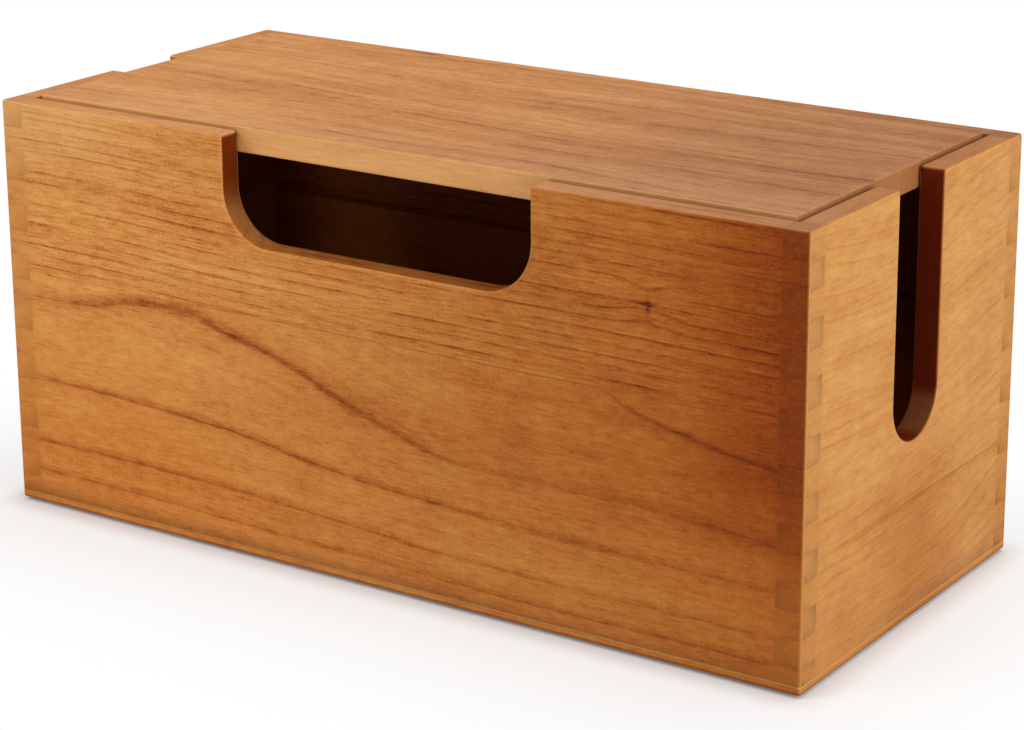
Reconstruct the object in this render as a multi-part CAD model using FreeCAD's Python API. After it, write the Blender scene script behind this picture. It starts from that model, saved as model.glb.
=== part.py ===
import FreeCAD, Part
import os

os.makedirs("parts", exist_ok=True)

# A wooden cable box with box-jointed corners, a wide notch in its front, a U slot in each end and a
# lid board that lies inside the rim. Millimetres. The origin is on the surface it stands on, under
# its middle: +X runs along its length, -Y is the notched front and +Z is up.

boxLength = 330.0
boxDepth = 152.0
boxHeight = 152.0  # from the underside of the base to the rim
wall = 9.5
fingerCount = 16  # slots of the corner joint over the whole height
baseThickness = 3.2
padHeight = 1.0
padRadius = 6.0
padInset = 15.0  # from the outside of the box to a pad's middle

notchWidth = 127.0
notchDepth = 38.0
notchCornerRadius = 19.0
slotWidth = 32.0
slotDepth = 88.5

frontJointHeight = 89.0  # of the glue line between two staves, above the underside of the base
endJointHeight = 43.0

lidThickness = 9.5
lidGap = 0.5  # between the lid and the walls, on every side
lidProud = 1.4  # how far the lid stands above the rim

blockSide = 12.0
blockLength = 30.0
blockChamfer = 4.0

easedRadius = 1.0  # of the sanded edges
padEase = 0.3
beyond = 5.0  # how far a cutting solid reaches past what it cuts

halfLength = boxLength / 2
halfDepth = boxDepth / 2
innerHalfLength = halfLength - wall
innerHalfDepth = halfDepth - wall
underside = padHeight
baseTop = underside + baseThickness
rim = underside + boxHeight
finger = boxHeight / fingerCount
lidTop = rim + lidProud
lidUnderside = lidTop - lidThickness


def block(x0, x1, y0, y1, z0, z1):
    """A box between two opposite corners."""
    return Part.makeBox(x1 - x0, y1 - y0, z1 - z0, FreeCAD.Vector(x0, y0, z0))


def joined(shapes):
    """Several touching solids as one, without the seams between them."""
    return shapes[0].multiFuse(shapes[1:]).removeSplitter()


def onlySolid(shape, name):
    """The one closed solid that a piece has to be."""
    solids = shape.Solids
    if len(solids) != 1 or not solids[0].isValid():
        raise ValueError(f"{name} has {len(solids)} solids, or one that isn't closed")
    return solids[0]


def save(name, shape):
    """Writes one piece and prints its volume."""
    solid = onlySolid(shape, name)
    solid.exportStep(f"parts/{name}.step")
    print(name, round(solid.Volume), "mm3")


def frontNotch():
    """The wide notch: open at the rim, with two large rounded lower corners."""
    bottom = rim - notchDepth
    body = block(-notchWidth / 2, notchWidth / 2, -beyond, wall + beyond, bottom, rim + beyond)
    corners = [
        edge
        for edge in body.Edges
        if all(abs(v.Z - bottom) < 1e-6 for v in edge.Vertexes)
        and abs(edge.Vertexes[0].X - edge.Vertexes[1].X) < 1e-6
    ]
    notch = body.makeFillet(notchCornerRadius, corners)
    notch.translate(FreeCAD.Vector(0, -halfDepth, 0))
    return notch


def endSlot(side):
    """The U slot of one end: straight cheeks down to a half-round bottom."""
    radius = slotWidth / 2
    centreHeight = rim - slotDepth + radius
    x0, x1 = sorted((side * (innerHalfLength - beyond), side * (halfLength + beyond)))
    straight = block(x0, x1, -radius, radius, centreHeight, rim + beyond)
    axis = FreeCAD.Vector(1, 0, 0)
    bottom = Part.makeCylinder(radius, x1 - x0, FreeCAD.Vector(x0, 0, centreHeight), axis)
    return joined([straight, bottom])


def wallRing():
    """All four walls as the glued and sanded ring, before it is divided into its boards."""
    outer = block(-halfLength, halfLength, -halfDepth, halfDepth, baseTop, rim)
    inner = block(
        -innerHalfLength,
        innerHalfLength,
        -innerHalfDepth,
        innerHalfDepth,
        baseTop - beyond,
        rim + beyond,
    )
    ring = outer.cut(inner)
    for cutter in (frontNotch(), endSlot(-1), endSlot(1)):
        ring = ring.cut(cutter)
    return ring.makeFillet(easedRadius, [edge for edge in ring.Edges if isEased(edge)])


def isEased(edge):
    """True for every edge that the sanding reaches: not the bottom ones or the inner corners."""
    box = edge.BoundBox
    touchesBottom = box.ZMax < baseTop + 1e-6
    innerCorner = (
        box.ZMax - box.ZMin > boxHeight / 2
        and abs(abs(box.Center.x) - innerHalfLength) < 1e-6
        and abs(abs(box.Center.y) - innerHalfDepth) < 1e-6
    )
    return not touchesBottom and not innerCorner


def fingerSpans(owner):
    """The heights of the joint slots that go to the long walls (owner 1) or to the ends (owner 0)."""
    spans = []
    for index in range(owner, fingerCount, 2):
        top = rim - index * finger
        spans.append((max(top - finger, baseTop), top))
    return spans


def longWallRegion(side):
    """The space of the front (side -1) or back wall: its web and its fingers at both ends."""
    y0, y1 = sorted((side * innerHalfDepth, side * halfDepth))
    cells = [block(-innerHalfLength, innerHalfLength, y0, y1, baseTop, rim)]
    for z0, z1 in fingerSpans(1):
        cells.append(block(-halfLength, -innerHalfLength, y0, y1, z0, z1))
        cells.append(block(innerHalfLength, halfLength, y0, y1, z0, z1))
    return joined(cells)


def endWallRegion(side):
    """The space of the left (side -1) or right end wall: its web and its fingers front and back."""
    x0, x1 = sorted((side * innerHalfLength, side * halfLength))
    cells = [block(x0, x1, -innerHalfDepth, innerHalfDepth, baseTop, rim)]
    for z0, z1 in fingerSpans(0):
        cells.append(block(x0, x1, -halfDepth, -innerHalfDepth, z0, z1))
        cells.append(block(x0, x1, innerHalfDepth, halfDepth, z0, z1))
    return joined(cells)


def staves(wallShape, jointHeight):
    """A wall divided at its glue line into its lower and upper stave."""
    z = underside + jointHeight
    reach = (-halfLength - beyond, halfLength + beyond, -halfDepth - beyond, halfDepth + beyond)
    lower = wallShape.common(block(*reach, underside, z))
    upper = wallShape.common(block(*reach, z, rim + beyond))
    return lower, upper


def saveWalls():
    """Both staves of each of the four walls."""
    ring = wallRing()
    walls = (
        ("front", longWallRegion(-1), frontJointHeight),
        ("back", longWallRegion(1), frontJointHeight),
        ("left_end", endWallRegion(-1), endJointHeight),
        ("right_end", endWallRegion(1), endJointHeight),
    )
    for name, region, jointHeight in walls:
        lower, upper = staves(ring.common(region), jointHeight)
        save(f"{name}_lower_stave", lower)
        save(f"{name}_upper_stave", upper)


def baseBoard():
    """The thin board glued under the walls, flush with them all round."""
    board = block(-halfLength, halfLength, -halfDepth, halfDepth, underside, baseTop)
    eased = [edge for edge in board.Edges if edge.BoundBox.ZMin < baseTop - 1e-6]
    return board.makeFillet(easedRadius, eased)


def lidBoard():
    """The loose lid: one board inside the rim, with all its edges eased."""
    x = innerHalfLength - lidGap
    y = innerHalfDepth - lidGap
    board = block(-x, x, -y, y, lidUnderside, lidTop)
    return board.makeFillet(easedRadius, board.Edges)


def cornerBlock(sideX, sideY):
    """A block glued into one inner corner, where the lid rests; its free edge is chamfered."""
    x0, x1 = sorted((sideX * innerHalfLength, sideX * (innerHalfLength - blockSide)))
    y0, y1 = sorted((sideY * innerHalfDepth, sideY * (innerHalfDepth - blockSide)))
    body = block(x0, x1, y0, y1, lidUnderside - blockLength, lidUnderside)
    free = [
        edge
        for edge in body.Edges
        if abs(edge.BoundBox.Center.x - sideX * (innerHalfLength - blockSide)) < 1e-6
        and abs(edge.BoundBox.Center.y - sideY * (innerHalfDepth - blockSide)) < 1e-6
    ]
    return body.makeChamfer(blockChamfer, free)


def footPad(sideX, sideY):
    """A thin round pad stuck under the base near one corner."""
    middle = FreeCAD.Vector(sideX * (halfLength - padInset), sideY * (halfDepth - padInset), 0)
    disc = Part.makeCylinder(padRadius, padHeight, middle)
    lowerEdge = [edge for edge in disc.Edges if edge.BoundBox.ZMax < padHeight / 2]
    return disc.makeFillet(padEase, lowerEdge)


saveWalls()
save("base_board", baseBoard())
save("lid_board", lidBoard())
for endName, sideX in (("left", -1), ("right", 1)):
    for faceName, sideY in (("front", -1), ("back", 1)):
        save(f"corner_block_{faceName}_{endName}", cornerBlock(sideX, sideY))
        save(f"foot_pad_{faceName}_{endName}", footPad(sideX, sideY))
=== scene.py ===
import math

import bmesh
import bpy
import numpy as np
from mathutils import Matrix, Vector


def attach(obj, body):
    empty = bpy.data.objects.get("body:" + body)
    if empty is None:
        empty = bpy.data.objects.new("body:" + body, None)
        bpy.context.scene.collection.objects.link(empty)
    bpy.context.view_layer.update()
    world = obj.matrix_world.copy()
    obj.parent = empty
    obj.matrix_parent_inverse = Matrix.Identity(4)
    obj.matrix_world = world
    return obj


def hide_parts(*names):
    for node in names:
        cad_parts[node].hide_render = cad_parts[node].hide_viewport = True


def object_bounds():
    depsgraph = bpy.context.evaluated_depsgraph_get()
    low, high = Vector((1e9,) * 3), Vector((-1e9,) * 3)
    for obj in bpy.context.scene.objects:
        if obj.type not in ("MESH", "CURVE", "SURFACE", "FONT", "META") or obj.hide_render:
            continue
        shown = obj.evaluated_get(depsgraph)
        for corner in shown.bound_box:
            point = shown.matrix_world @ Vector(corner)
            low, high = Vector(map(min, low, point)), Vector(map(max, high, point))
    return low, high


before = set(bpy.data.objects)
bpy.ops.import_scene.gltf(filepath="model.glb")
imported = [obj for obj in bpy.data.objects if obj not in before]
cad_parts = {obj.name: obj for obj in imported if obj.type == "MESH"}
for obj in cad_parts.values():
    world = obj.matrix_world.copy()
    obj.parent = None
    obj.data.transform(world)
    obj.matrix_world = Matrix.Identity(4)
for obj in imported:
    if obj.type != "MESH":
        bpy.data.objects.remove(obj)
cadBox = [list(corner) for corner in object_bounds()]

# The box stands at the origin in metres: +X along its length, -Y is the notched front, +Z up.
# Shader fields are in millimetres, read from Object coordinates, so a pattern is cut through the wood.
perMetre = 1000.0


# Colours are written as 0-255 screen values and used as linear light, by the standard screen curve.
def linear(r, g, b):
    parts = np.array([r, g, b]) / 255
    return (*np.where(parts <= 0.04045, parts / 12.92, ((parts + 0.055) / 1.055) ** 2.4).tolist(), 1.0)


# Wraps a socket, so that operators on it add Math nodes.
class Field:
    def __init__(self, tree, socket):
        self.tree = tree
        self.socket = socket

    def math(self, operation, *others, clamp=False):
        node = self.tree.nodes.new("ShaderNodeMath")
        node.operation = operation
        node.use_clamp = clamp
        for slot, value in zip(node.inputs, (self, *others)):
            plug(self.tree, slot, value)
        return Field(self.tree, node.outputs[0])

    def __add__(self, other):
        return self.math("ADD", other)

    def __sub__(self, other):
        return self.math("SUBTRACT", other)

    def __rsub__(self, other):
        return constant(self.tree, other).math("SUBTRACT", self)

    def __mul__(self, other):
        return self.math("MULTIPLY", other)

    def __truediv__(self, other):
        return self.math("DIVIDE", other)

    def __rtruediv__(self, other):
        return constant(self.tree, other).math("DIVIDE", self)

    def __neg__(self):
        return self.math("MULTIPLY", -1.0)

    def __abs__(self):
        return self.math("ABSOLUTE")

    __radd__ = __add__
    __rmul__ = __mul__

    def clamped(self):
        return self.math("ADD", 0.0, clamp=True)

    # Smoothly 0 to 1 as the field goes from low to high; the other way round if low is over high.
    def step(self, low, high):
        t = ((self - low) / (high - low)).clamped()
        return t * t * (3.0 - 2.0 * t)

    # A bell of height 1 round the centre, that has fallen to 1/e at the width.
    def bell(self, centre, width):
        u = (self - centre) / width
        return (-(u * u)).math("EXPONENT")


def constant(tree, value):
    node = tree.nodes.new("ShaderNodeValue")
    node.outputs[0].default_value = value
    return Field(tree, node.outputs[0])


def plug(tree, slot, value):
    if isinstance(value, Field):
        tree.links.new(value.socket, slot)
    else:
        slot.default_value = value


# One material's node tree, with the fields that every wood pattern starts from.
class Finish:
    def __init__(self, name):
        self.material = bpy.data.materials.new(name)
        self.material.use_nodes = True
        self.tree = self.material.node_tree
        self.tree.nodes.clear()
        place = self.make("ShaderNodeTexCoord", output="Object")
        axes = self.make("ShaderNodeSeparateXYZ", output=None, Vector=place)
        self.x, self.y, self.z = [Field(self.tree, socket) * perMetre for socket in axes.outputs]
        normal = self.make("ShaderNodeNewGeometry", output="True Normal")
        turns = self.make("ShaderNodeSeparateXYZ", output=None, Vector=normal)
        # how squarely the surface faces along each axis, 0 to 1
        self.facing = [abs(Field(self.tree, socket)) for socket in turns.outputs]

    # Adds a node of a type: settings first, then the values or links of its sockets by name.
    def make(self, kind, settings=None, output=0, **sockets):
        node = self.tree.nodes.new(kind)
        for key, value in (settings or {}).items():
            setattr(node, key, value)
        for key, value in sockets.items():
            plug(self.tree, node.inputs[key.replace("_", " ")], value)
        return node if output is None else Field(self.tree, node.outputs[output])

    # Noise of a layer, with its cell sizes along the three fields. It runs from about -0.5 to 0.5, or from
    # 0 to 1 where the layer says between which levels it shows. A seed reads it somewhere else.
    def noise(self, fields, layer, seed=0.0):
        x, y, z = [field / size for field, size in zip(fields, layer["cells"])]
        if seed:
            z = z + seed
        grain = self.make(
            "ShaderNodeTexNoise",
            {"noise_dimensions": "3D", "normalize": True},
            Vector=self.make("ShaderNodeCombineXYZ", X=x, Y=y, Z=z),
            Scale=1.0,
            Detail=layer["detail"],
            Roughness=layer.get("roughness", 0.5),
        )
        return grain.step(*layer["shown"]) if "shown" in layer else grain - 0.5

    # Mixes two colours. A Mix node's colour sockets are numbers 6, 7 and 2, after those of other kinds.
    def mix(self, amount, a, b, blend="MIX"):
        node = self.make("ShaderNodeMix", {"data_type": "RGBA", "blend_type": blend}, output=None)
        plug(self.tree, node.inputs[0], amount)
        plug(self.tree, node.inputs[6], a)
        plug(self.tree, node.inputs[7], b)
        return Field(self.tree, node.outputs[2])

    # A smooth curve through a few given points (position, value).
    def curve(self, field, points):
        xs = [p[0] for p in points]
        ys = [p[1] for p in points]
        margin = 1.0  # keeps the curve off the ends of the node's 0 to 1
        low, high = min(ys) - margin, max(ys) + margin
        node = self.make("ShaderNodeFloatCurve", output=None)
        line = node.mapping.curves[0]
        while len(line.points) < len(points):
            line.points.new(0.5, 0.5)
        for spot, (px, py) in zip(line.points, points):
            spot.location = ((px - xs[0]) / (xs[-1] - xs[0]), (py - low) / (high - low))
            spot.handle_type = "AUTO_CLAMPED"
        node.mapping.update()
        plug(self.tree, node.inputs["Value"], (field - xs[0]) / (xs[-1] - xs[0]))
        return Field(self.tree, node.outputs[0]) * (high - low) + low

    def bump(self, height, strength, distance):
        return self.make("ShaderNodeBump", Height=height, Strength=strength, Distance=distance)

    def surface(self, **sockets):
        shader = self.make("ShaderNodeBsdfPrincipled", **sockets)
        out = self.make("ShaderNodeOutputMaterial", output=None)
        self.tree.links.new(shader.socket, out.inputs["Surface"])
        return self.material


print("camera")

# The view of the photograph, fitted to the corners of the box.
view = {
    "position": (0.55904, -0.81636, 0.38307),
    "azimuth": 33.106,
    "elevation": 16.409,
    "roll": -0.04,
    "lens": 101.58,
    "sensor": 36.0,
    "shift": (-0.05, -0.08),
    "clip": (0.05, 50.0),
}


def addCamera():
    azimuth, elevation, roll = [math.radians(view[key]) for key in ("azimuth", "elevation", "roll")]
    back = Vector(
        (
            math.sin(azimuth) * math.cos(elevation),
            -math.cos(azimuth) * math.cos(elevation),
            math.sin(elevation),
        )
    )
    camera = bpy.data.objects.new("camera", bpy.data.cameras.new("camera"))
    bpy.context.collection.objects.link(camera)
    camera.data.lens = view["lens"]
    camera.data.sensor_width = view["sensor"]
    camera.data.shift_x, camera.data.shift_y = view["shift"]
    camera.data.clip_start, camera.data.clip_end = view["clip"]
    turn = back.to_track_quat("Z", "Y").to_matrix().to_4x4() @ Matrix.Rotation(roll, 4, "Z")
    camera.matrix_world = Matrix.Translation(view["position"]) @ turn
    bpy.context.scene.camera = camera


addCamera()
bpy.context.scene.view_settings.view_transform = "Standard"


print("floor and light")

studio = {
    "floorHalf": 6.0,
    "floorColour": (0.93, 0.925, 0.92, 1.0),
    "white": (1.0, 1.0, 1.0, 1.0),
    "whiteAt": 0.11,  # metres outside the box where the floor has gone over to plain white
    "whiteShare": 0.62,  # how white it already is beside the box
    "contactWidth": 0.012,  # metres round the foot where the floor keeps more of its shadow
    "contactShare": 0.15,  # of the white that is left right at the foot
    "worldLight": 0.36,
    "aim": (0.0, 0.0, 0.06),
    "lamps": (
        {"name": "key", "at": (-0.75, -1.15, 1.05), "size": 0.9, "power": 7.5},
        {"name": "top", "at": (0.10, 0.25, 1.35), "size": 1.3, "power": 9.0},
        {"name": "right", "at": (1.45, -0.25, 0.75), "size": 0.9, "power": 9.5},
    ),
}


# Near the box the floor is a pale matt sheet that takes its shadow; further out it is plain white.
def floorMaterial():
    finish = Finish("pale floor")
    boxLong, boxDeep = cadBox[1][:2]
    outX = (abs(finish.x / perMetre) - boxLong).math("MAXIMUM", 0.0)
    outY = (abs(finish.y / perMetre) - boxDeep).math("MAXIMUM", 0.0)
    far = (outX * outX + outY * outY).math("SQRT")
    matt = finish.make("ShaderNodeBsdfDiffuse", Color=studio["floorColour"])
    white = finish.make("ShaderNodeEmission", Color=studio["white"], Strength=1.0)
    rays = finish.make("ShaderNodeLightPath", output=None)
    camera = Field(finish.tree, rays.outputs["Is Camera Ray"])
    gloss = Field(finish.tree, rays.outputs["Is Glossy Ray"])
    left = studio["contactShare"]
    contact = left + far.step(0.0, studio["contactWidth"]) * (1.0 - left)
    share = studio["whiteShare"]
    amount = far.step(0.0, studio["whiteAt"]) * (1.0 - share) + share
    amount = amount * (camera * contact).math("MAXIMUM", gloss)
    both = finish.make("ShaderNodeMixShader", output=None)
    for slot, value in zip(both.inputs, (amount, matt, white)):
        plug(finish.tree, slot, value)
    out = finish.make("ShaderNodeOutputMaterial", output=None)
    finish.tree.links.new(both.outputs[0], out.inputs["Surface"])
    return finish.material


def addFloor():
    half = studio["floorHalf"]
    mesh = bpy.data.meshes.new("floor")
    corners = [(-half, -half, 0), (half, -half, 0), (half, half, 0), (-half, half, 0)]
    mesh.from_pydata(corners, [], [(0, 1, 2, 3)])
    floor = bpy.data.objects.new("floor", mesh)
    bpy.context.collection.objects.link(floor)
    mesh.materials.append(floorMaterial())


def addLamps():
    for lamp in studio["lamps"]:
        light = bpy.data.lights.new(lamp["name"], "AREA")
        light.shape = "SQUARE"
        light.size = lamp["size"]
        light.energy = lamp["power"]
        holder = bpy.data.objects.new(lamp["name"], light)
        bpy.context.collection.objects.link(holder)
        aim = Vector(studio["aim"]) - Vector(lamp["at"])
        turn = aim.to_track_quat("-Z", "Y").to_matrix().to_4x4()
        holder.matrix_world = Matrix.Translation(lamp["at"]) @ turn


# The world lights softly from all round, and is plain white where the camera sees it.
def addWorld():
    world = bpy.data.worlds.new("studio")
    bpy.context.scene.world = world
    world.use_nodes = True
    tree = world.node_tree
    tree.nodes.clear()
    rays = tree.nodes.new("ShaderNodeLightPath")
    seen = Field(tree, rays.outputs["Is Camera Ray"])
    glow = tree.nodes.new("ShaderNodeBackground")
    plug(tree, glow.inputs["Color"], studio["white"])
    plug(tree, glow.inputs["Strength"], seen * (1.0 - studio["worldLight"]) + studio["worldLight"])
    out = tree.nodes.new("ShaderNodeOutputWorld")
    tree.links.new(glow.outputs[0], out.inputs["Surface"])


addFloor()
addLamps()
addWorld()


print("wood")

# Sizes in millimetres: the outside comes from the frame, and the rest from the boards.
wall = 9.5
lidProud = 1.4  # how far the lid stands above the rim
longHalf, deepHalf, lidTop = [round(value * perMetre, 3) for value in cadBox[1]]
innerLong = longHalf - wall
innerDeep = deepHalf - wall
rim = lidTop - lidProud
fingerHeight = 9.5
frontSeam = 90.0  # height of the glue line in the front and back walls
endSeam = 44.0

# Layers of noise. The cell sizes run along the grain, across it and up, unless the use says otherwise.
layers = {
    "wander": {"cells": (70.0, 18.0, 16.0), "detail": 3.0},
    "bands": {"cells": (150.0, 30.0, 1.0), "detail": 3.0},
    "fibres": {"cells": (9.0, 0.8, 0.8), "detail": 3.0, "roughness": 0.7},
    "streaks": {"cells": (55.0, 9.0, 1.1), "detail": 4.0, "roughness": 0.7},
    "cloud": {"cells": (26.0, 30.0, 16.0), "detail": 4.0, "roughness": 0.6},
    "mottle": {"cells": (5.0, 6.0, 3.0), "detail": 2.0},
    "grit": {"cells": (1.1, 1.1, 0.9), "detail": 2.0, "roughness": 0.6},
    "fade": {"cells": (60.0, 25.0, 1.0), "detail": 3.0, "roughness": 0.65, "shown": (0.36, 0.62)},
    "pores": {"cells": (4.0, 0.7, 0.6), "detail": 2.0, "roughness": 0.7, "shown": (0.58, 0.74)},
    "dots": {"cells": (0.55, 0.55, 0.55), "detail": 2.0},
    "arcs": {"cells": (1.6, 1.0, 30.0), "detail": 2.0},
    "speckle": {"cells": (1.3, 1.3, 1.1), "detail": 2.0, "roughness": 0.6, "shown": (0.4, 0.62)},
}


# Height of a spot within a family of lines, lowest first: 0 on the first line, 1 on the second, and on.
def between(lines, z):
    total = ((z - lines[0]) / (lines[1] - lines[0])).clamped()
    for low, high in zip(lines[1:], lines[2:]):
        total = total + ((z - low) / (high - low)).clamped()
    return total


# Goes over from 0 to 1 from low to high millimetres outside the walls' inner faces, along both X and Y.
# It marks the corners, or the inside of the box if low is over high.
def pastInner(finish, low, high):
    pastLong = abs(finish.x).step(innerLong + low, innerLong + high)
    return pastLong * abs(finish.y).step(innerDeep + low, innerDeep + high)


def fromStops(finish, tone, colours):
    ramp = finish.make("ShaderNodeValToRGB", output=None)
    plug(finish.tree, ramp.inputs[0], tone)
    stops = ramp.color_ramp.elements
    while len(stops) < len(colours):
        stops.new(0.5)
    for stop, (place, colour) in zip(stops, colours):
        stop.position = place
        stop.color = linear(*colour)
    return Field(finish.tree, ramp.outputs[0])


# The colour of a tone: pale stops, going over to the deep ones by an amount of 0 to 1.
def paleToDeep(finish, tone, tones, amount):
    pale = fromStops(finish, tone, tones["pale"])
    return finish.mix(amount, pale, fromStops(finish, tone, tones["deep"]))


# The share of the deep stops along the length, from a curve of given points.
def deepAlong(finish, tones):
    points = [(place, share * 100) for place, share in tones["along"]]
    return finish.curve(finish.x + longHalf, points) / 100.0


# The long sides. Stops go from light to dark wood; places are millimetres from the left end, and
# heights are above the floor. A pair goes over from its first value to its second.
frontTones = {
    "pale": ((0.0, (246, 184, 106)), (0.40, (224, 152, 76)), (0.68, (194, 112, 46)), (1.0, (130, 62, 24))),
    "deep": ((0.0, (190, 112, 36)), (0.40, (162, 82, 14)), (0.68, (136, 60, 8)), (1.0, (82, 30, 4))),
    "along": [(0, 0.05), (60, 0.12), (150, 0.44), (230, 0.70), (300, 0.92), (330, 1.0)],
    "footHeights": (75.0, 15.0),
    "footLoss": 0.35,  # of the deep share, near the foot
    "lowHeights": (110.0, 10.0),
    "lowGain": 0.12,
    "washes": (
        # the first wash is a painted highlight at the top left
        {"along": (90.0, 20.0), "heights": (118.0, 150.0), "share": 0.31, "colour": (255, 206, 140),
         "blend": "MIX"},
        {"along": (200.0, 60.0), "heights": (95.0, 15.0), "share": 1.0, "colour": (250, 232, 204),
         "blend": "MULTIPLY"},
    ),
    # painted shade up the right edge, on top of the wood's own darker tone there
    "edge": {"along": (270.0, 330.0), "heights": (15.0, 80.0), "speckle": 0.25, "colour": (212, 176, 96)},
}


# Golden at the left end, browner to the right, and darkest up the right edge: partly the wood's own tone,
# partly painted shade as the light falls off towards the right. The first wash is a painted highlight at
# the top left.
def frontPalette(finish, tone):
    run = finish.x + longHalf
    loss = finish.z.step(*frontTones["footHeights"]) * frontTones["footLoss"]
    gain = finish.z.step(*frontTones["lowHeights"]) * frontTones["lowGain"]
    deep = (deepAlong(finish, frontTones) * (1.0 - loss) + gain).clamped()
    wood = paleToDeep(finish, tone, frontTones, deep)
    for wash in frontTones["washes"]:
        amount = run.step(*wash["along"]) * finish.z.step(*wash["heights"]) * wash["share"]
        wood = finish.mix(amount, wood, linear(*wash["colour"]), wash["blend"])
    edge = frontTones["edge"]
    speckle = finish.noise((finish.x, finish.y, finish.z), layers["speckle"])
    amount = run.step(*edge["along"]) * finish.z.step(*edge["heights"])
    amount = amount * ((1.0 - edge["speckle"]) + speckle * edge["speckle"])
    return finish.mix(amount, wood, linear(*edge["colour"]), "MULTIPLY")


endTones = {
    "pale": ((0.0, (228, 172, 98)), (0.40, (208, 145, 75)), (0.68, (190, 122, 56)), (1.0, (136, 76, 30))),
    "deep": ((0.0, (214, 152, 80)), (0.40, (194, 126, 60)), (0.68, (174, 106, 44)), (1.0, (116, 64, 24))),
    "deepHeights": (90.0, 6.0),
    "deepShare": 0.65,
    "patch": {"middle": 4.0, "width": 26.0, "heights": (80.0, 40.0), "colour": (236, 217, 191)},
}


# The ends: golden above and browner towards the foot, with a darker patch under the slot.
def endPalette(finish, tone):
    deep = finish.z.step(*endTones["deepHeights"]) * endTones["deepShare"]
    wood = paleToDeep(finish, tone, endTones, deep)
    patch = endTones["patch"]
    amount = finish.y.bell(patch["middle"], patch["width"]) * finish.z.step(*patch["heights"])
    return finish.mix(amount, wood, linear(*patch["colour"]), "MULTIPLY")


lidTones = {
    "pale": ((0.0, (226, 163, 99)), (0.40, (206, 138, 73)), (0.68, (182, 110, 50)), (1.0, (120, 64, 28))),
    "deep": ((0.0, (188, 130, 80)), (0.40, (168, 108, 62)), (0.68, (146, 86, 46)), (1.0, (96, 52, 28))),
    "along": [(0, 0.0), (90, 0.10), (170, 0.30), (250, 0.8), (330, 1.0)],
    "near": {"depths": (-30.0, -72.0), "share": 0.08, "colour": (250, 205, 168)},
    "frontEdge": {"facing": (0.5, 0.9), "lighter": 0.16, "share": 0.30, "colour": (255, 190, 110)},
}


# The lid and the top of the rim: lighter at the left and near the front, browner and greyer at the right;
# the change along the length is partly the wood's own tone and partly painted shade as the light falls off
# towards the right.
def lidPalette(finish, tone):
    wood = paleToDeep(finish, tone, lidTones, deepAlong(finish, lidTones).clamped())
    near = lidTones["near"]
    return finish.mix(finish.y.step(*near["depths"]) * near["share"], wood, linear(*near["colour"]))


# The lid's own colours, with a lighter and more golden front edge.
def lidSkin(finish, tone):
    edge = lidTones["frontEdge"]
    front = finish.facing[1].step(*edge["facing"])
    tone = (tone - front * edge["lighter"]).clamped()
    return finish.mix(front * edge["share"], lidPalette(finish, tone), linear(*edge["colour"]))


skinPlaces = {
    "endFacing": (0.5, 0.85),
    "endAlong": (100.0, 110.0),  # from the middle of the box
    "topFacing": (0.6, 0.9),
    "topBelowRim": (3.0, 1.0),
}


# Each side of the box has its own colours, whichever board shows there.
def wallSkin(finish, tone):
    atEnd = finish.facing[0].step(*skinPlaces["endFacing"]) * abs(finish.x).step(*skinPlaces["endAlong"])
    wood = finish.mix(atEnd, frontPalette(finish, tone), endPalette(finish, tone))
    low, high = [rim - below for below in skinPlaces["topBelowRim"]]
    atTop = finish.facing[2].step(*skinPlaces["topFacing"]) * finish.z.step(low, high)
    return finish.mix(atTop, wood, lidPalette(finish, tone))


growthLine = {
    "soft": {"rise": (0.35, 0.90), "share": 0.35},  # the slow darkening before a line
    "core": {"rise": (0.72, 0.88), "share": 0.65},
    "end": (1.0, 0.94),
    "jump": 7.3,  # how far apart in the noise two lines read their fading
}
cutEnds = {"facing": (0.6, 0.9), "dots": 0.30, "arcs": 0.30}
boxCorner = {
    "reach": (-3.0, 2.0),
    "calm": 0.50,  # how much of the figure it loses
    "darker": 0.05,
    "share": 0.55,
    "endShare": 0.45,  # added on end grain
    "colour": (246, 245, 250),
}
easedEdge = {"facing": (0.9, 0.995), "share": 0.10, "colour": (238, 180, 118)}
woodRough = {"fibres": 0.22, "pores": 0.18, "endward": 0.12}
woodHeight = {"fibres": 0.5, "streaks": 0.35, "pores": 0.9, "dots": 0.8}
woodBump = {"strength": 0.30, "distance": 0.00012}


# Close growth lines, one for each cell of the rings, that fade in and out along their length.
def closeLines(finish, along, across, cell):
    part = cell.math("FRACT")
    soft, core = growthLine["soft"], growthLine["core"]
    line = part.step(*soft["rise"]) * soft["share"] + part.step(*core["rise"]) * core["share"]
    line = line * part.step(*growthLine["end"])
    return line * finish.noise((along, across, cell.math("FLOOR") * growthLine["jump"]), layers["fade"])


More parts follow.
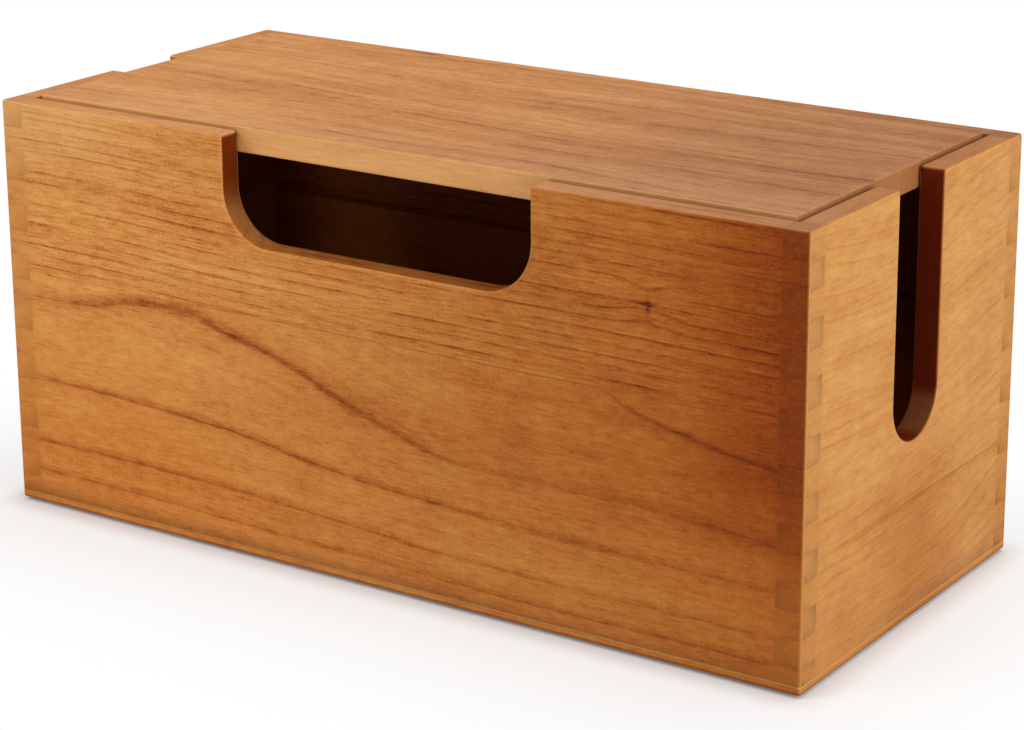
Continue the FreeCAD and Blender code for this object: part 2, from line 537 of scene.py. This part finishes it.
# One board's wood: a tone from its growth lines and fibres, coloured by the side of the box it shows on.
def boardWood(name, grain, figure, look):
    finish = Finish(name)
    x, y, z = finish.x, finish.y, finish.z
    along, across = (x, y) if grain == "x" else (y, x)
    growth, heroes = figure(finish, x, y, z)
    ring = growth + finish.noise((along, across, z), layers["wander"], look["seed"]) * look["wander"]
    parts = {
        "bands": finish.noise((along, across, ring / look["bandWidth"]), layers["bands"]),
        "fibres": finish.noise((along, across, z), layers["fibres"]),
        "streaks": finish.noise((along, across, ring), layers["streaks"]),
        "cloud": finish.noise((along, across, z), layers["cloud"]),
        "mottle": finish.noise((along, across, z), layers["mottle"]),
        "grit": finish.noise((x, y, z), layers["grit"]),
        "lines": closeLines(finish, along, across, ring / look["spacing"]),
        "pores": finish.noise((along, across, z), layers["pores"]),
        "heroes": heroes,
    }
    tone = constant(finish.tree, 0.0)
    for key, part in parts.items():
        tone = tone + part * look[key]

    # the cut ends of the grain have dots in place of streaks, and the sanded corners show little figure
    endward = finish.facing[0 if grain == "x" else 1].step(*cutEnds["facing"])
    dots = finish.noise((x, y, z), layers["dots"])
    arcs = finish.noise((across, ring, along), layers["arcs"])
    corner = pastInner(finish, *boxCorner["reach"])
    tone = tone * (1.0 - corner * boxCorner["calm"]) + corner * boxCorner["darker"]
    cut = dots * cutEnds["dots"] + arcs * cutEnds["arcs"] + look["endShift"]
    tone = tone + (cut - tone) * endward
    tone = (tone + look["middle"]).clamped()

    wood = look["skin"](finish, tone)
    amount = corner * (boxCorner["share"] + endward * boxCorner["endShare"])
    wood = finish.mix(amount, wood, linear(*boxCorner["colour"]), "MULTIPLY")
    for shade in look["shades"]:
        wood = shade(finish, wood)
    # Eased edges are painted a little lighter: partly rubbed wear, partly a painted highlight.
    squarest = finish.facing[0].math("MAXIMUM", finish.facing[1]).math("MAXIMUM", finish.facing[2])
    eased = 1.0 - squarest.step(*easedEdge["facing"])
    wood = finish.mix(eased * easedEdge["share"], wood, linear(*easedEdge["colour"]))

    rough = look["rough"] + parts["fibres"] * woodRough["fibres"] + parts["pores"] * woodRough["pores"]
    rough = (rough + endward * woodRough["endward"]).clamped()
    height = parts["fibres"] * woodHeight["fibres"] + parts["streaks"] * woodHeight["streaks"]
    height = height - parts["pores"] * woodHeight["pores"] + dots * endward * woodHeight["dots"]
    return finish.surface(
        Base_Color=wood,
        Roughness=rough,
        Specular_IOR_Level=look["gloss"],
        Normal=finish.bump(height, woodBump["strength"], woodBump["distance"]),
    )


insideTone = {"reach": (0.25, 0.05), "share": 0.9, "colour": (184, 146, 116)}


# Painted shade: the inside faces are darkened to stand in for the dark of the closed box.
def insideShade(finish, wood):
    amount = pastInner(finish, *insideTone["reach"]) * insideTone["share"]
    return finish.mix(amount, wood, linear(*insideTone["colour"]), "MULTIPLY")


footTones = {
    "sideFacing": (0.5, 0.2),
    "line": {"heights": (3.5, 3.8), "share": 0.35, "colour": (236, 184, 118)},
    "under": {"heights": (2.6, 1.6), "share": 0.7, "colour": (150, 110, 80)},
}


# The base shows as a fine light line along the foot of the walls.
def footShade(finish, wood):
    line, under = footTones["line"], footTones["under"]
    side = finish.facing[2].step(*footTones["sideFacing"])
    wood = finish.mix(finish.z.step(*line["heights"]) * side * line["share"], wood, linear(*line["colour"]))
    # The lowest millimetres of the base are darkened: painted shade along the floor.
    amount = finish.z.step(*under["heights"]) * under["share"]
    return finish.mix(amount, wood, linear(*under["colour"]), "MULTIPLY")


rimGapShadow = {"reach": (1.5, 1.0), "belowRim": (3.0, 1.2), "share": 0.9, "colour": (112, 66, 42)}


# Painted shadow: the inner edge of the rim is darkened, so a dark line runs round the lid where the gap
# beside it lies in shade.
def rimShade(finish, wood):
    low, high = [rim - below for below in rimGapShadow["belowRim"]]
    amount = pastInner(finish, *rimGapShadow["reach"]) * finish.z.step(low, high) * rimGapShadow["share"]
    return finish.mix(amount, wood, linear(*rimGapShadow["colour"]), "MULTIPLY")


cheekTones = {
    "easeBelowRim": 1.5,
    "notch": {"facing": (0.4, 0.1), "reach": (66.0, 63.8), "heights": (115.0, 140.0), "lowShare": 0.50,
              "colour": (135, 86, 28)},
    "slot": {"facing": (0.5, 0.1), "reach": (17.2, 16.2), "colour": (182, 136, 72)},
}


# The sawn cheeks of the notch and of the end slots are deep brown: partly end grain that drinks more oil,
# partly painted shade inside the cut-outs.
def notchShade(finish, wood):
    notch = cheekTones["notch"]
    cheek = finish.facing[1].step(*notch["facing"]) * abs(finish.x).step(*notch["reach"])
    cheek = cheek * finish.z.step(rim, rim - cheekTones["easeBelowRim"])
    cheek = cheek * (notch["lowShare"] + finish.z.step(*notch["heights"]) * (1.0 - notch["lowShare"]))
    return finish.mix(cheek, wood, linear(*notch["colour"]), "MULTIPLY")


def slotShade(finish, wood):
    slot = cheekTones["slot"]
    cheek = finish.facing[0].step(*slot["facing"]) * abs(finish.y).step(*slot["reach"])
    cheek = cheek * finish.z.step(rim, rim - cheekTones["easeBelowRim"])
    return finish.mix(cheek, wood, linear(*slot["colour"]), "MULTIPLY")


hairline = {
    "cornerReach": (-0.1, 0.0),
    "fingerWidth": (0.22, 0.05),
    "fingerShare": 0.14,
    "glueWidth": (0.25, 0.05),
    "glueShare": 0.20,
    "colour": (120, 70, 40),
}


# Hairlines where the fingers meet, and along the glue line.
def jointShade(seam):
    def shade(finish, wood):
        colour = linear(*hairline["colour"])
        part = ((rim - finish.z) / fingerHeight).math("FRACT") - 0.5
        toJoint = (0.5 - abs(part)) * fingerHeight
        hair = toJoint.step(*hairline["fingerWidth"]) * pastInner(finish, *hairline["cornerReach"])
        wood = finish.mix(hair * hairline["fingerShare"], wood, colour, "MULTIPLY")
        glue = abs(finish.z - seam).step(*hairline["glueWidth"])
        return finish.mix(glue * hairline["glueShare"], wood, colour, "MULTIPLY")

    return shade


frontLean = 0.35  # how far the figure of the front boards climbs for each millimetre into the wood

# The lower front board. Growth lines are heights above the floor, by millimetres from the left end.
lowerFigure = {
    "fourth": [(0, 14.5), (62, 13.5), (160, 11), (250, 9.4), (330, 9.8)],
    "third": [(0, 25.6), (80, 25), (155, 21.8), (200, 19.4), (330, 18.6)],
    "second": [(0, 50.3), (62, 48.6), (100, 46.3), (145, 40.5), (190, 37.2), (250, 35.4), (330, 34.3)],
    "arch": [
        (0, 81), (37, 82.5), (66, 87), (84, 86.5), (100, 82.5), (120, 78), (150, 67), (170, 60.5),
        (207, 53.5), (257, 53.5), (330, 49.5),
    ],
    "corner": [(250, 94), (265, 85.5), (290, 79.2), (317, 75), (330, 73.5)],
    "foot": -16.0,  # height where the family of lines starts
    "head": 30.0,  # how far above the arch it ends
    "rings": 14.0,  # millimetres of growth from one line to the next
    "lines": (
        {"name": "fourth", "width": 0.5, "strength": 0.75, "wobble": 1.6, "rightLoss": 0.0},
        {"name": "third", "width": 0.5, "strength": 0.8, "wobble": 1.6, "rightLoss": 0.2},
        {"name": "second", "width": 0.6, "strength": 0.95, "wobble": 2.0, "rightLoss": 0.45},
        {"name": "arch", "width": 1.15, "strength": 1.0, "wobble": 3.4, "rightLoss": 0.65},
    ),
    "rightAlong": (165.0, 215.0),
    "core": 0.5,  # of a line where its dashes or its gaps take from it
    "soft": {"above": 0.9, "widths": 2.6, "share": 0.50},
    "archLeft": {"share": 0.6, "along": (50.0, 105.0)},
    "archCrown": {"above": 1.0, "width": 3.0, "along": (66.0, 30.0), "strength": 0.45},
    "cornerLine": {"wobble": 2.0, "width": 1.0, "along": (252.0, 270.0), "strength": 0.8},
    "plain": {"heights": (-26.0, -2.0), "fromLeft": (110.0, 150.0), "fromRight": (275.0, 240.0),
              "lighter": 0.10},
    "ragged": {"cells": (7.0, 4.0, 1.6), "detail": 4.0, "roughness": 0.7},
    "dashes": {"cells": (9.0, 4.0, 0.7), "detail": 2.0, "roughness": 0.6, "shown": (0.30, 0.62)},
    "gaps": {"cells": (26.0, 9.0, 9.0), "detail": 2.0, "shown": (0.30, 0.60), "seedStep": 5.0},
}


# Four long lines with an arch in the top one, a short line at the right, and plainer wood at the top.
def lowerFrontFigure(finish, x, y, z):
    run = x + longHalf
    level = z - (y + deepHalf) * frontLean
    curves = {line["name"]: finish.curve(run, lowerFigure[line["name"]]) for line in lowerFigure["lines"]}
    foot = constant(finish.tree, lowerFigure["foot"])
    place = between([foot, *curves.values(), curves["arch"] + lowerFigure["head"]], level)
    ragged = finish.noise((x, y, z), lowerFigure["ragged"])
    dashes = finish.noise((x, y, z), lowerFigure["dashes"])
    core, soft = lowerFigure["core"], lowerFigure["soft"]
    left, crown = lowerFigure["archLeft"], lowerFigure["archCrown"]
    heroes = constant(finish.tree, 0.0)
    for index, line in enumerate(lowerFigure["lines"]):
        gap = level - curves[line["name"]] + ragged * line["wobble"]
        sharp = gap.bell(0.0, line["width"]) * (core + dashes * (1.0 - core))
        broken = finish.noise((x, y, z), lowerFigure["gaps"], index * lowerFigure["gaps"]["seedStep"])
        sharp = sharp * (core + broken * (1.0 - core))
        wide = gap.bell(soft["above"], line["width"] * soft["widths"]) * soft["share"]
        paler = 1.0 - run.step(*lowerFigure["rightAlong"]) * line["rightLoss"]
        if line["name"] == "arch":
            paler = paler * (left["share"] + run.step(*left["along"]) * (1.0 - left["share"]))
            bulge = gap.bell(crown["above"], crown["width"]) * run.bell(*crown["along"])
            heroes = heroes + bulge * crown["strength"]
        heroes = heroes + (sharp + wide) * line["strength"] * paler

    side = lowerFigure["cornerLine"]
    start = lowerFigure["corner"][0][0]
    cornerCurve = finish.curve((run - start).math("MAXIMUM", 0.0) + start, lowerFigure["corner"])
    sideLine = (level - cornerCurve + ragged * side["wobble"]).bell(0.0, side["width"])
    sideLine = sideLine * run.step(*side["along"])
    plain = lowerFigure["plain"]
    flat = (level - frontSeam).step(*plain["heights"])
    flat = flat * run.step(*plain["fromLeft"]) * run.step(*plain["fromRight"])
    return place * lowerFigure["rings"], heroes + sideLine * side["strength"] - flat * plain["lighter"]


# The upper front board: how far its grain sinks to the right, two longer lines, and a small knot.
upperFigure = {
    "tilt": [(0, 0), (45, 0.5), (95, 2.3), (150, 3.2), (240, 3.4), (330, 4.4)],
    "lines": (
        {"points": [(0, 150), (45, 149.3), (75, 147.5), (110, 144.5)], "strength": 0.8},
        {"points": [(0, 137.3), (50, 137), (90, 135.3), (110, 134.6)], "strength": 0.6},
    ),
    "line": {"wobble": 1.6, "width": 0.6, "fade": 40.0, "strength": 0.6},
    "wobble": {"cells": (6.0, 4.0, 2.0), "detail": 3.0},
    "ragged": {"cells": (1.8, 4.0, 1.2), "detail": 3.0, "roughness": 0.7},
}
knot = {
    "at": (272.0, 121.0),
    "half": (10.0, 5.0),  # how far it bends the grain round it, to the side and up
    "bend": 7.0,
    "marks": (  # the crack and the split across it
        {"shift": (0.0, 0.0), "half": (4.2, 0.75), "ragged": (3.0, 2.6), "strength": 1.0},
        {"shift": (1.0, -1.2), "half": (0.9, 2.6), "ragged": (2.0, 0.0), "strength": 0.8},
    ),
    "markStrength": 1.5,
    "haloRagged": 1.6,
    "halo": 0.25,
    "haloStrength": 0.6,
}


# A round spot of height 1 that fades as the two fields leave 0.
def spot(across, up):
    return (-(across * across + up * up)).math("EXPONENT")


# Straight close grain that slopes down a little to the right, and a small knot.
def upperFrontFigure(finish, x, y, z):
    run = x + longHalf
    level = z - (y + deepHalf) * frontLean + finish.curve(run, upperFigure["tilt"])
    knotX, knotZ = knot["at"]
    ragged = finish.noise((x, y, z), upperFigure["ragged"])
    up = (z - knotZ) / knot["half"][1]
    swirl = spot((run - knotX) / knot["half"][0], up)
    level = level + swirl * up * knot["bend"]
    marks = constant(finish.tree, 0.0)
    for mark in knot["marks"]:
        side = (run - knotX - mark["shift"][0] + ragged * mark["ragged"][0]) / mark["half"][0]
        rise = (z - knotZ - mark["shift"][1] + ragged * mark["ragged"][1]) / mark["half"][1]
        marks = marks + spot(side, rise) * mark["strength"]
    halo = swirl * (ragged * knot["haloRagged"] + knot["halo"]) * knot["haloStrength"]
    heroes = marks * knot["markStrength"] + halo
    wobble = finish.noise((x, y, z), upperFigure["wobble"])
    line = upperFigure["line"]
    for long in upperFigure["lines"]:
        end = long["points"][-1][0]
        curve = finish.curve(run.math("MINIMUM", end), long["points"])
        core = (z - curve + wobble * line["wobble"]).bell(0.0, line["width"])
        heroes = heroes + core * run.step(end, end - line["fade"]) * long["strength"] * line["strength"]
    return level, heroes


# The waves of the boards without a drawn figure: noise, and how many millimetres it shifts the rings.
waves = {
    "straight": {"cells": (190.0, 190.0, 60.0), "detail": 1.0, "shift": 22.0},
    "flat": {"cells": (150.0, 60.0, 60.0), "detail": 1.0, "shift": 26.0, "rise": 0.5},
    "end": {"cells": (60.0, 110.0, 50.0), "detail": 1.0, "shift": 18.0},
}
endLift = [(0, 0), (50, 1.0), (95, -2.0), (125, -7.0), (152, -12.0)]


def straightFigure(tilt, seed):
    def figure(finish, x, y, z):
        wave = finish.noise((x, y, z), waves["straight"], seed)
        return z + x * tilt + wave * waves["straight"]["shift"], constant(finish.tree, 0.0)

    return figure


# Wood whose lines run along a board that lies flat, for the lid and the base.
def flatFigure(seed):
    def figure(finish, x, y, z):
        wave = finish.noise((x, y, z), waves["flat"], seed)
        return y + z * waves["flat"]["rise"] + wave * waves["flat"]["shift"], constant(finish.tree, 0.0)

    return figure


# The end boards: lines along Y that rise towards the back.
def endFigure(seed):
    def figure(finish, x, y, z):
        lift = finish.curve(y + deepHalf, endLift)
        wave = finish.noise((x, y, z), waves["end"], seed)
        return z + lift + wave * waves["end"]["shift"], constant(finish.tree, 0.0)

    return figure


upperLook = {
    "wander": 1.5, "bandWidth": 8.0, "spacing": 3.9, "seed": 0.0, "middle": 0.35, "endShift": 0.02,
    "bands": 0.42, "fibres": 0.95, "streaks": 0.55, "cloud": 0.34, "mottle": 0.26, "lines": 0.34,
    "pores": 0.26, "grit": 0.42, "heroes": 0.36, "rough": 0.50, "gloss": 0.10, "skin": wallSkin,
    "shades": (insideShade, rimShade, notchShade, jointShade(frontSeam)),
}
lowerLook = dict(
    upperLook, spacing=7.0, lines=0.08, bands=0.30, bandWidth=6.0, streaks=0.32, mottle=0.34, cloud=0.36,
    fibres=0.66, grit=0.36, pores=0.18, seed=4.0,
)
endLook = dict(
    upperLook, wander=4.0, bandWidth=10.0, spacing=5.0, bands=0.36, fibres=0.50, streaks=0.40, cloud=0.55,
    lines=0.15, pores=0.12, grit=0.26, mottle=0.34, seed=9.0,
    shades=(insideShade, rimShade, slotShade, jointShade(endSeam)),
)
lidLook = dict(
    upperLook, wander=7.0, bandWidth=11.0, spacing=6.5, bands=0.95, streaks=0.55, lines=0.22, seed=14.0,
    skin=lidSkin, shades=(), gloss=0.24,
)
blockLook = dict(endLook, shades=())

# Each board: the axis of its grain, its figure and its look.
woods = {
    "front_upper_stave": ("x", upperFrontFigure, upperLook),
    "front_lower_stave": ("x", lowerFrontFigure, lowerLook),
    "back_upper_stave": ("x", straightFigure(0.02, 3.0), upperLook),
    "back_lower_stave": ("x", straightFigure(-0.03, 8.0), lowerLook),
    "left_end_upper_stave": ("y", endFigure(12.0), endLook),
    "left_end_lower_stave": ("y", endFigure(15.0), endLook),
    "right_end_upper_stave": ("y", endFigure(0.0), endLook),
    "right_end_lower_stave": ("y", endFigure(5.0), endLook),
    "base_board": ("x", flatFigure(2.0), dict(lowerLook, shades=(insideShade, footShade))),
    "lid_board": ("x", flatFigure(6.0), lidLook),
}

padRubber = {
    "grain": {"cells": (0.4, 0.4, 0.4), "detail": 2.0},
    "dark": (30, 30, 31),
    "light": (48, 47, 46),
    "roughness": 0.7,
    "roughVaries": 0.2,
    "strength": 0.4,
    "distance": 0.0001,
}


def rubber():
    finish = Finish("pad rubber")
    grain = finish.noise((finish.x, finish.y, finish.z), padRubber["grain"]) + 0.5
    return finish.surface(
        Base_Color=finish.mix(grain, linear(*padRubber["dark"]), linear(*padRubber["light"])),
        Roughness=(grain * padRubber["roughVaries"] + padRubber["roughness"]).clamped(),
        Normal=finish.bump(grain, padRubber["strength"], padRubber["distance"]),
    )


smoothing = {
    "joinWithin": 2e-6,  # metres
    "emptyBelow": 1e-7,
    "sharpAngle": 40.0,
    "faceWeight": 100,
}


# Stands for a node: its mesh with the triangles joined, smooth over the eased edges and flat elsewhere.
def smoothed(node, material):
    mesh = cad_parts[node].data.copy()
    shape = bmesh.new()
    shape.from_mesh(mesh)
    bmesh.ops.remove_doubles(shape, verts=shape.verts, dist=smoothing["joinWithin"])
    bmesh.ops.dissolve_degenerate(shape, dist=smoothing["emptyBelow"], edges=shape.edges)
    shape.to_mesh(mesh)
    shape.free()
    mesh.shade_smooth()
    mesh.set_sharp_from_angle(angle=math.radians(smoothing["sharpAngle"]))
    mesh.materials.clear()
    mesh.materials.append(material)
    piece = bpy.data.objects.new(node + "_piece", mesh)
    bpy.context.collection.objects.link(piece)
    weighted = piece.modifiers.new("flat faces stay flat", "WEIGHTED_NORMAL")
    weighted.keep_sharp = True
    weighted.weight = smoothing["faceWeight"]
    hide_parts(node)
    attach(piece, "lid" if node == "lid_board" else "box")


print("boards")
for node, (grain, figure, look) in woods.items():
    smoothed(node, boardWood(node.replace("_", " ") + " wood", grain, figure, look))

print("corner blocks and pads")
blockWood = boardWood("corner block wood", "x", straightFigure(0.0, 20.0), blockLook)
padMaterial = rubber()
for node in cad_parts:
    if node.startswith("corner_block"):
        smoothed(node, blockWood)
    if node.startswith("foot_pad"):
        smoothed(node, padMaterial)

print("finish")
